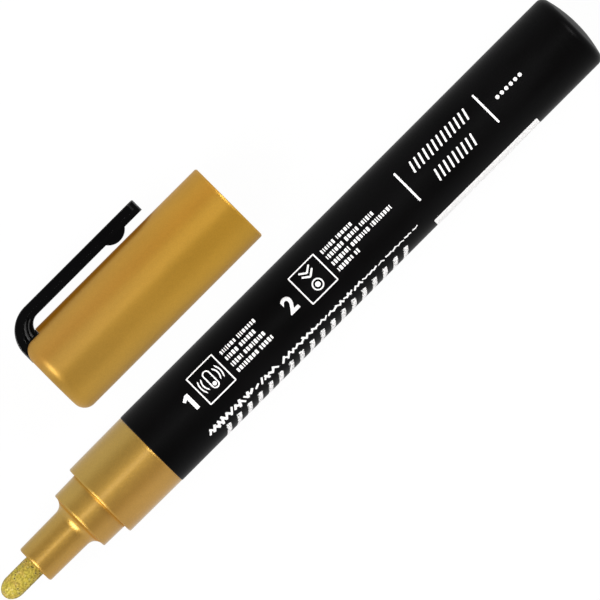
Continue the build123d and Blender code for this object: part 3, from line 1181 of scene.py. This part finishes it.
@dataclass
class PrintSheet:
    """A flat sheet of marks. On it x runs along the barrel and y round it, from the line that faces up."""

    line: float = 0.26 * MM
    corner_segments: int = 5
    block_widths: tuple[float, ...] = (0.2 * MM, 0.34 * MM, 0.44 * MM, 0.52 * MM)
    block_gap: float = 0.25 * MM
    word_gap: float = 0.66 * MM
    word_blocks: tuple[int, int] = (5, 9)
    scribble_runs: Range = (0.34 * MM, 0.8 * MM)
    scribble_weights: Range = (0.52 * MM, 0.26 * MM)
    scribble_shake: Range = (0.75, 1.2)
    scribble_swing_shares: Range = (0.3, 1.0)
    scribble_drift: Range = (-0.4, 0.4)
    scribble_gaps: float = 0.13
    chalk_wave_share: float = 0.16
    chalk_wave_length: float = 0.9 * MM
    chalk_edge_shares: Range = (0.35, 1.0)
    chalk_gaps: float = 0.12
    chalk_shake: float = 0.35
    chalk_seeds: tuple[int, int] = (0, 999)
    marks: list[bpy.types.Object] = field(default_factory=list)
    dice: random.Random = field(default_factory=lambda: random.Random(PRINT_SEED))

    def keep(self, mark: bpy.types.Object) -> bpy.types.Object:
        """Settle a mark and keep it for the sheet.

        Args:
            mark: The mark.

        Returns:
            The mark.
        """
        settle(mark)
        self.marks.append(mark)
        return mark

    def bar(
        self, centre: Place, size: Place, round_share: float = 0.0, turn: float = 0.0
    ) -> bpy.types.Object:
        """Draw a bar.

        Args:
            centre: Its centre.
            size: Its sides along x and y, before it is turned.
            round_share: Its corners' radius, as a share of its shorter side.
            turn: How far it is turned, in radians.

        Returns:
            The bar.
        """
        release()
        bpy.ops.mesh.primitive_plane_add(size=1)
        bar = bpy.context.object
        bar.scale = (*size, 1)
        settle(bar)
        if round_share:
            with editing(bar):
                bpy.ops.mesh.bevel(
                    offset=min(size) * round_share,
                    offset_type="OFFSET",
                    segments=self.corner_segments,
                    affect="VERTICES",
                )
        bar.location = (*centre, 0)
        bar.rotation_euler.z = turn
        return self.keep(bar)

    def disc(self, centre: Place, radius: float, sides: int = 40) -> bpy.types.Object:
        """Draw a filled circle.

        Args:
            centre: Its centre.
            radius: Its radius.
            sides: How many sides it is drawn with.

        Returns:
            The disc.
        """
        release()
        bpy.ops.mesh.primitive_circle_add(
            vertices=sides, radius=radius, fill_type="NGON", location=(*centre, 0)
        )
        return self.keep(bpy.context.object)

    def hollow(self, mark: bpy.types.Object) -> None:
        """Leave only a line along a mark's outline.

        Args:
            mark: The mark.
        """
        with editing(mark):
            bpy.ops.mesh.inset(thickness=self.line)
            bpy.ops.mesh.delete(type="FACE")

    def trim(self, mark: bpy.types.Object, place: float, side: int) -> None:
        """Keep what lies beyond a place on x (side 1), or before it (side -1)."""
        with editing(mark):
            bpy.ops.mesh.bisect(plane_co=(place, 0, 0), plane_no=(side, 0, 0), clear_inner=True)

    def numeral(self, text: str, centre: Place, height: float, weight: float) -> None:
        """Draw a bold numeral.

        Args:
            text: The numeral.
            centre: Its centre.
            height: Its height.
            weight: How far its outline is spread, as a share of the type size.
        """
        release()
        bpy.ops.object.text_add()
        letter = bpy.context.object
        letter.data.body = text
        letter.data.offset = weight
        bpy.ops.object.convert(target="MESH")
        letter = bpy.context.object
        scale = height / letter.dimensions.y
        letter.scale = (scale, scale, scale)
        settle(letter)
        corners = [Vector(corner) for corner in letter.bound_box]
        middle = sum(corners, Vector()) / len(corners)
        letter.location = (centre[0] - middle.x, centre[1] - middle.y, 0)
        self.keep(letter)

    def stamp(self, block: bpy.types.Object, centre: Place, size: Place, turn: float = 0.0) -> None:
        """Set a copy of a unit block.

        Args:
            block: The unit block.
            centre: The copy's centre.
            size: Its sides, before it is turned.
            turn: How far it is turned, in radians.
        """
        copy = block.copy()
        copy.data = block.data.copy()
        bpy.context.scene.collection.objects.link(copy)
        copy.scale = (*size, 1)
        copy.location = (*centre, 0)
        copy.rotation_euler.z = turn
        self.keep(copy)

    def blocks(self, block: bpy.types.Object, span: Range, middle: float, heights: Range) -> None:
        """Fill a line with blocks as wide as small type, set in words.

        Args:
            block: A unit block.
            span: Where the line starts and ends.
            middle: The line's middle round the barrel.
            heights: The least and greatest height of a block.
        """
        place, left_in_word = span[0], self.dice.randint(*self.word_blocks)
        while place < span[1]:
            width = self.dice.choice(self.block_widths)
            self.stamp(block, (place + width / 2, middle), (width, self.dice.uniform(*heights)))
            left_in_word -= 1
            place += width + (self.block_gap if left_in_word else self.word_gap)
            left_in_word = left_in_word or self.dice.randint(*self.word_blocks)

    def scribble(self, block: bpy.types.Object, span: Range, middle: float, swings: Range) -> None:
        """Draw a rough line of short strokes to and fro, which calms down along its length and has gaps.

        Args:
            block: A unit block.
            span: Where the line starts and ends.
            middle: The line's middle round the barrel.
            swings: How far it swings at its start and at its end.
        """
        place, side = span[0], 1
        heavy, light = self.scribble_weights
        while place < span[1]:
            share = (place - span[0]) / (span[1] - span[0])
            swing = swings[0] + (swings[1] - swings[0]) * share
            swing *= self.dice.uniform(*self.scribble_swing_shares)
            run = self.dice.uniform(*self.scribble_runs)
            weight = (heavy + (light - heavy) * share) * self.dice.uniform(*self.scribble_shake)
            centre = (place + run / 2, middle + self.dice.uniform(*self.scribble_drift) * swing)
            if self.dice.random() > self.scribble_gaps:
                length = math.hypot(run, 2 * swing) + weight
                self.stamp(block, centre, (length, weight), side * math.atan2(2 * swing, run))
            place += run
            side = -side

    def chalk(self, centre: Place, size: Place, ends: Range, cell: float, turn: float = 0.0) -> None:
        """Draw a rough stroke of chalk: a net of cells, shaken, with its edge and many cells broken away.

        Args:
            centre: Its centre.
            size: Its length and its greatest width.
            ends: Its width at its start and its end, as shares of the greatest.
            cell: The net's mesh.
            turn: How far it is turned, in radians.
        """
        release()
        bpy.ops.mesh.primitive_grid_add(
            x_subdivisions=round(size[0] / cell), y_subdivisions=round(size[1] / cell), size=1
        )
        stroke = bpy.context.object
        stroke.scale = (*size, 1)
        settle(stroke)

        def broken(face: bmesh.types.BMFace) -> bool:
            """Whether a cell has come away.

            Args:
                face: The cell.

            Returns:
                True for such a cell.
            """
            place = face.calc_center_median()
            along = place.x / size[0] + 0.5
            edge = size[1] / 2 * (ends[0] + (ends[1] - ends[0]) * along)
            wave = size[1] * self.chalk_wave_share * math.sin(along * size[0] / self.chalk_wave_length)
            worn = abs(place.y - wave) > edge * self.dice.uniform(*self.chalk_edge_shares)
            return worn or self.dice.random() < self.chalk_gaps

        with editing(stroke):
            pick(stroke, Element.FACE, broken)
            bpy.ops.mesh.delete(type="FACE")
            bpy.ops.mesh.select_all(action="SELECT")
            seed = self.dice.randint(*self.chalk_seeds)
            bpy.ops.transform.vertex_random(offset=cell * self.chalk_shake, seed=seed)
            bpy.ops.transform.resize(value=(1, 1, 0), center_override=(0, 0, 0))
        stroke.location = (*centre, 0)
        stroke.rotation_euler.z = turn
        self.keep(stroke)

    def joined(self, name: str, strip: float) -> bpy.types.Object:
        """Join the marks and cut them into strips that run along the barrel.

        Args:
            name: The sheet's name.
            strip: The strips' width.

        Returns:
            The flat sheet.
        """
        sheet = self.marks[0]
        join_into(sheet, self.marks[1:])
        sheet.name = name
        around = [corner[1] for corner in sheet.bound_box]
        first, last = math.ceil(min(around) / strip), math.floor(max(around) / strip)
        with editing(sheet):
            for cut in range(first, last + 1):
                bpy.ops.mesh.select_all(action="SELECT")
                bpy.ops.mesh.bisect(plane_co=(0, cut * strip, 0), plane_no=(0, 1, 0))
            bpy.ops.mesh.select_all(action="SELECT")
            bpy.ops.mesh.normals_make_consistent(inside=False)
        return sheet


@dataclass
class BarrelPrint:
    """The white print: two numbered steps with signs, rules, hatching, chalk strokes and a bare plate."""

    proud: float = 0.012 * MM
    sunk: float = 0.04 * MM
    strip: float = 0.3 * MM
    frame_side: Place = (6.6 * MM, 6.9 * MM)
    frame_round: float = 0.03
    shake_sign: Place = (16.67 * MM, 1.34 * MM)
    capsule_size: Place = (1.6 * MM, 4.0 * MM)
    capsule_round: float = 0.49
    capsule_ball_drop: float = 1.05 * MM
    capsule_ball_radius: float = 0.4 * MM
    arc_radii: tuple[float, ...] = (1.95 * MM, 2.6 * MM)
    arc_reaches: tuple[float, ...] = (1.4 * MM, 2.05 * MM)
    press_sign: Place = (42.57 * MM, 1.12 * MM)
    chevron_rises: tuple[float, ...] = (2.0 * MM, 1.05 * MM)
    chevron_spread: float = 0.62 * MM
    chevron_bar: Place = (1.7 * MM, 0.36 * MM)
    chevron_round: float = 0.4
    chevron_turn: float = math.radians(38)
    target_drop: float = 1.35 * MM
    target_dot: float = 0.5 * MM
    target_ring: float = 1.15 * MM
    numeral_height: float = 3.45 * MM
    numeral_weight: float = 0.03
    numeral_round: float = 0.1
    one_stem: Place = (11.4 * MM, 0.86 * MM)
    one_stem_width: float = 0.8 * MM
    one_flag: Place = (10.8 * MM, 2.02 * MM)
    one_flag_size: Place = (1.3 * MM, 0.62 * MM)
    one_flag_turn: float = math.radians(33)
    two_place: Place = (36.33 * MM, 0.8 * MM)
    block_heights: Range = (0.74 * MM, 0.9 * MM)
    block_round: float = 0.12
    line_middles: tuple[float, ...] = (3.46 * MM, 1.97 * MM, 0.45 * MM, -1.05 * MM)
    line_starts: tuple[float, ...] = (21.2 * MM, 47.0 * MM)
    line_ends: tuple[tuple[float, ...], ...] = (
        (30.4 * MM, 28.2 * MM, 29.3 * MM, 29.9 * MM),
        (54.4 * MM, 59.3 * MM, 62.0 * MM, 52.4 * MM),
    )
    rule_places: tuple[float, ...] = (66.43 * MM, 86.5 * MM)
    rule_span: Range = (-2.74 * MM, 4.42 * MM)
    rule_width: float = 0.42 * MM
    stroke_round: float = 0.3
    hatch_rows: tuple[Place, ...] = ((76.44 * MM, 2.73 * MM), (76.44 * MM, -1.58 * MM))
    hatch_counts: tuple[int, ...] = (13, 9)
    hatch_pitch: float = 1.13 * MM
    hatch_stroke: Place = (0.38 * MM, 2.45 * MM)
    hatch_slant: float = math.radians(-14)
    dot_first: Place = (89.5 * MM, 0.76 * MM)
    dot_count: int = 6
    dot_pitch: float = 1.14 * MM
    dot_radius: float = 0.38 * MM
    dot_sides: int = 24
    scribble_span: Range = (9.6 * MM, 62.4 * MM)
    scribble_middle: float = -6.05 * MM
    scribble_swings: Range = (0.72 * MM, 0.1 * MM)
    chalk_first: Place = (12.6 * MM, -10.2 * MM)
    chalk_count: int = 18
    chalk_pitch: float = 2.66 * MM
    chalk_size: Place = (4.9 * MM, 1.1 * MM)
    chalk_ends: Range = (1.6, 1.6)
    chalk_cell: float = 0.14 * MM
    chalk_turn: float = math.radians(74)
    plate_centre: Place = (78.75 * MM, -10.9 * MM)
    plate_size: Place = (26.3 * MM, 4.8 * MM)
    plate_round: float = 0.05
    sheet: PrintSheet = field(default_factory=PrintSheet)

    def build(self) -> bpy.types.Object:
        """Draw every mark and lay the sheet round the barrel.

        Returns:
            The print, riding on the marker.
        """
        self.sheet.bar(self.one_stem, (self.one_stem_width, self.numeral_height), self.numeral_round)
        self.sheet.bar(self.one_flag, self.one_flag_size, self.numeral_round, self.one_flag_turn)
        self.sheet.numeral("2", self.two_place, self.numeral_height, self.numeral_weight)
        self._shake_sign()
        self._press_sign()
        self._lines()
        self._rules_and_hatch()
        self._chalk_strokes()
        self.sheet.bar(self.plate_centre, self.plate_size, self.plate_round)
        wrapped = self.sheet.joined("barrel_print", self.strip)
        self._wrap(wrapped)
        dress(wrapped, PRINT_WHITE)
        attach(wrapped, Body.MARKER.value)
        return wrapped

    def _shake_sign(self) -> None:
        """Draw the first sign: a capsule with a ball in it, between arcs of motion, in a frame."""
        x, y = self.shake_sign
        self.sheet.hollow(self.sheet.bar((x, y), self.frame_side, self.frame_round))
        self.sheet.hollow(self.sheet.bar((x, y), self.capsule_size, self.capsule_round))
        self.sheet.disc((x, y - self.capsule_ball_drop), self.capsule_ball_radius)
        for radius, reach in zip(self.arc_radii, self.arc_reaches):
            for side in (-1, 1):
                arc = self.sheet.disc((x, y), radius)
                self.sheet.hollow(arc)
                self.sheet.trim(arc, x + side * reach, side)

    def _press_sign(self) -> None:
        """Draw the second sign: two chevrons over a ringed dot, in a frame."""
        x, y = self.press_sign
        self.sheet.hollow(self.sheet.bar((x, y), self.frame_side, self.frame_round))
        for rise in self.chevron_rises:
            for side in (-1, 1):
                centre = (x + side * self.chevron_spread, y + rise)
                self.sheet.bar(centre, self.chevron_bar, self.chevron_round, side * self.chevron_turn)
        self.sheet.disc((x, y - self.target_drop), self.target_dot)
        self.sheet.hollow(self.sheet.disc((x, y - self.target_drop), self.target_ring))

    def _lines(self) -> None:
        """Set the two blocks of four lines in plain blocks, and scribble the rough line below them."""
        block = self.sheet.bar((0, 0), (1, 1), self.block_round)
        self.sheet.marks.remove(block)
        for start, ends in zip(self.line_starts, self.line_ends):
            for end, middle in zip(ends, self.line_middles):
                self.sheet.blocks(block, (start, end), middle, self.block_heights)
        self.sheet.scribble(block, self.scribble_span, self.scribble_middle, self.scribble_swings)
        bpy.data.objects.remove(block)

    def _rules_and_hatch(self) -> None:
        """Draw the two rules, the hatching between them and the row of dots behind them."""
        low, high = self.rule_span
        for place in self.rule_places:
            self.sheet.bar((place, (low + high) / 2), (self.rule_width, high - low), self.stroke_round)
        for (x, y), count in zip(self.hatch_rows, self.hatch_counts):
            for index in range(count):
                shift = (index - (count - 1) / 2) * self.hatch_pitch
                self.sheet.bar((x + shift, y), self.hatch_stroke, self.stroke_round, self.hatch_slant)
        x, y = self.dot_first
        for index in range(self.dot_count):
            self.sheet.disc((x + index * self.dot_pitch, y), self.dot_radius, self.dot_sides)

    def _chalk_strokes(self) -> None:
        """Draw the row of slanted chalk strokes."""
        x, y = self.chalk_first
        for index in range(self.chalk_count):
            place = (x + index * self.chalk_pitch, y)
            self.sheet.chalk(place, self.chalk_size, self.chalk_ends, self.chalk_cell, self.chalk_turn)

    def _wrap(self, sheet: bpy.types.Object) -> None:
        """Thicken the flat sheet and bend it round the barrel.

        Args:
            sheet: The flat sheet.
        """
        low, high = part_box("barrel")
        radius = (high.z - low.z) / 2
        sheet.location.z = self.proud
        settle(sheet)
        sheet.rotation_euler.x = -math.pi / 2
        settle(sheet)
        around = [corner[2] for corner in sheet.bound_box]
        body = sheet.modifiers.new("body", "SOLIDIFY")
        body.thickness = self.proud + self.sunk
        body.offset = -1.0
        roll = sheet.modifiers.new("roll", "SIMPLE_DEFORM")
        roll.deform_method = "BEND"
        roll.deform_axis = "X"
        roll.angle = -(max(around) - min(around)) / radius
        apply_all(sheet)
        sheet.rotation_euler.x = math.pi / 2
        sheet.location.z = radius
        settle(sheet)


@dataclass(frozen=True)
class Card:
    """A soft rectangular light, leaning over the marker's axis."""

    name: str
    lean: float
    distance: float
    shift: Place
    size: Place
    radiance: float
    mirrored: bool = True
    reach: Reach = Reach.ALL

    def hang(self) -> None:
        """Hang the light where it looks at the object and isn't seen by the camera."""
        release()
        place = (
            self.distance * math.sin(self.lean) + self.shift[0],
            self.shift[1],
            self.distance * math.cos(self.lean),
        )
        bpy.ops.object.light_add(type="AREA", location=place, rotation=(0, self.lean, 0))
        lamp = bpy.context.object
        lamp.name = self.name
        lamp.data.shape = "RECTANGLE"
        lamp.data.size, lamp.data.size_y = self.size
        lamp.data.energy = self.radiance * math.pi * self.size[0] * self.size[1]
        lamp.visible_camera = False
        lamp.visible_glossy = self.mirrored
        if self.reach is not Reach.ALL:
            self._limit(lamp)

    def _limit(self, lamp: bpy.types.Object) -> None:
        """Let the light fall on the cap's shell alone, or on all but the shell.

        Args:
            lamp: The light.
        """
        group = bpy.data.collections.new(f"{self.name}_reach")
        group.objects.link(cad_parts["cap_shell"])
        lamp.light_linking.receiver_collection = group
        state = "INCLUDE" if self.reach is Reach.CAP else "EXCLUDE"
        group.collection_objects[0].light_linking.link_state = state


@dataclass
class Studio:
    """Camera, floor and light."""

    metres_per_pixel: float = 0.1815 * MM
    pixels: int = 600
    view_centre: Place = (38.24 * MM, 0.03 * MM)
    view_turn: float = math.radians(-45)
    camera_height: float = 3.0
    camera_reach: float = 100.0
    sensor: float = 36.0
    floor_side: float = 12.0
    sky: Stops = (
        (0.0, (0.75, 0.75, 0.75)),
        (0.28, (0.73, 0.73, 0.73)),
        (0.5, (0.53, 0.5, 0.48)),
        (0.68, (0.36, 0.32, 0.3)),
        (0.82, (0.34, 0.3, 0.28)),
        (0.94, (0.42, 0.4, 0.39)),
        (1.0, (0.44, 0.43, 0.42)),
    )
    # Name, lean, distance, shift, size and radiance of each light
    cards: tuple[Card, ...] = (
        Card("strip", 0.0, 0.75, (-0.26, 0.025), (0.7, 0.17), 1.4),
        Card("front_card", math.radians(-44), 1.6, (0.0, 0.06), (0.9, 1.3), 6.8, reach=Reach.REST),
        Card("rear_card", math.radians(44), 0.8, (0.0, 0.0), (0.32, 0.3), 10.0, reach=Reach.REST),
        Card("cap_front_card", math.radians(-44), 1.6, (0.0, 0.42), (0.8, 1.12), 6.1, reach=Reach.CAP),
        Card("cap_rear_card", math.radians(60), 0.8, (0.0, 0.17), (0.44, 0.34), 14.0, reach=Reach.CAP),
        Card("cap_fill", 0.0, 0.4, (0.0, -1.5), (1.0, 1.0), 4.0, mirrored=False, reach=Reach.CAP),
        Card("fill", 0.0, 1.5, (0.0, 0.0), (2.0, 2.0), 0.2, mirrored=False),
    )

    def build(self) -> None:
        """Set up the whole studio."""
        self._camera()
        self._floor()
        self._sky()
        for card in self.cards:
            card.hang()
        bpy.context.scene.view_settings.view_transform = "Standard"

    def _camera(self) -> None:
        """Look straight down, turned so that the marker lies on the picture's diagonal."""
        release()
        bpy.ops.object.camera_add(
            location=(*self.view_centre, self.camera_height), rotation=(0, 0, self.view_turn)
        )
        camera = bpy.context.object
        camera.name = "studio_camera"
        camera.data.sensor_width = self.sensor
        camera.data.lens = self.sensor * self.camera_height / (self.metres_per_pixel * self.pixels)
        camera.data.clip_end = self.camera_reach
        bpy.context.scene.camera = camera

    def _floor(self) -> None:
        """Lay the floor under the object."""
        release()
        bpy.ops.mesh.primitive_plane_add(size=self.floor_side, location=(0, 0, CAD_BOX[0].z))
        floor = bpy.context.object
        floor.name = "studio_floor"
        dress(floor, StudioFloor("studio_white"), mirrored=True)

    def _sky(self) -> None:
        """Surround the object with a soft tent: pale near the floor, dimmer and warmer higher up."""
        world = bpy.data.worlds.new("studio_tent")
        world.use_nodes = True
        bpy.context.scene.world = world
        tree = world.node_tree
        place = tree.nodes.new("ShaderNodeTexCoord")
        split = tree.nodes.new("ShaderNodeSeparateXYZ")
        ramp = tree.nodes.new("ShaderNodeValToRGB")
        fill_ramp(ramp.color_ramp, self.sky)
        tree.links.new(place.outputs["Generated"], split.inputs["Vector"])
        tree.links.new(split.outputs["Z"], ramp.inputs["Fac"])
        tree.links.new(ramp.outputs["Color"], tree.nodes["Background"].inputs["Color"])


def main() -> None:
    """Build the studio, then each piece of the marker, and report them."""
    logging.basicConfig(level=logging.INFO, format="%(name)s: %(message)s")
    Studio().build()
    DressedNodes().build()
    for maker in (FibreNib(), ValveSpring(), PocketClip(), BarrelPrint()):
        piece = maker.build()
        LOG.info("%s has %d faces", piece.name, len(piece.data.polygons))


if __name__ == "__main__":
    main()
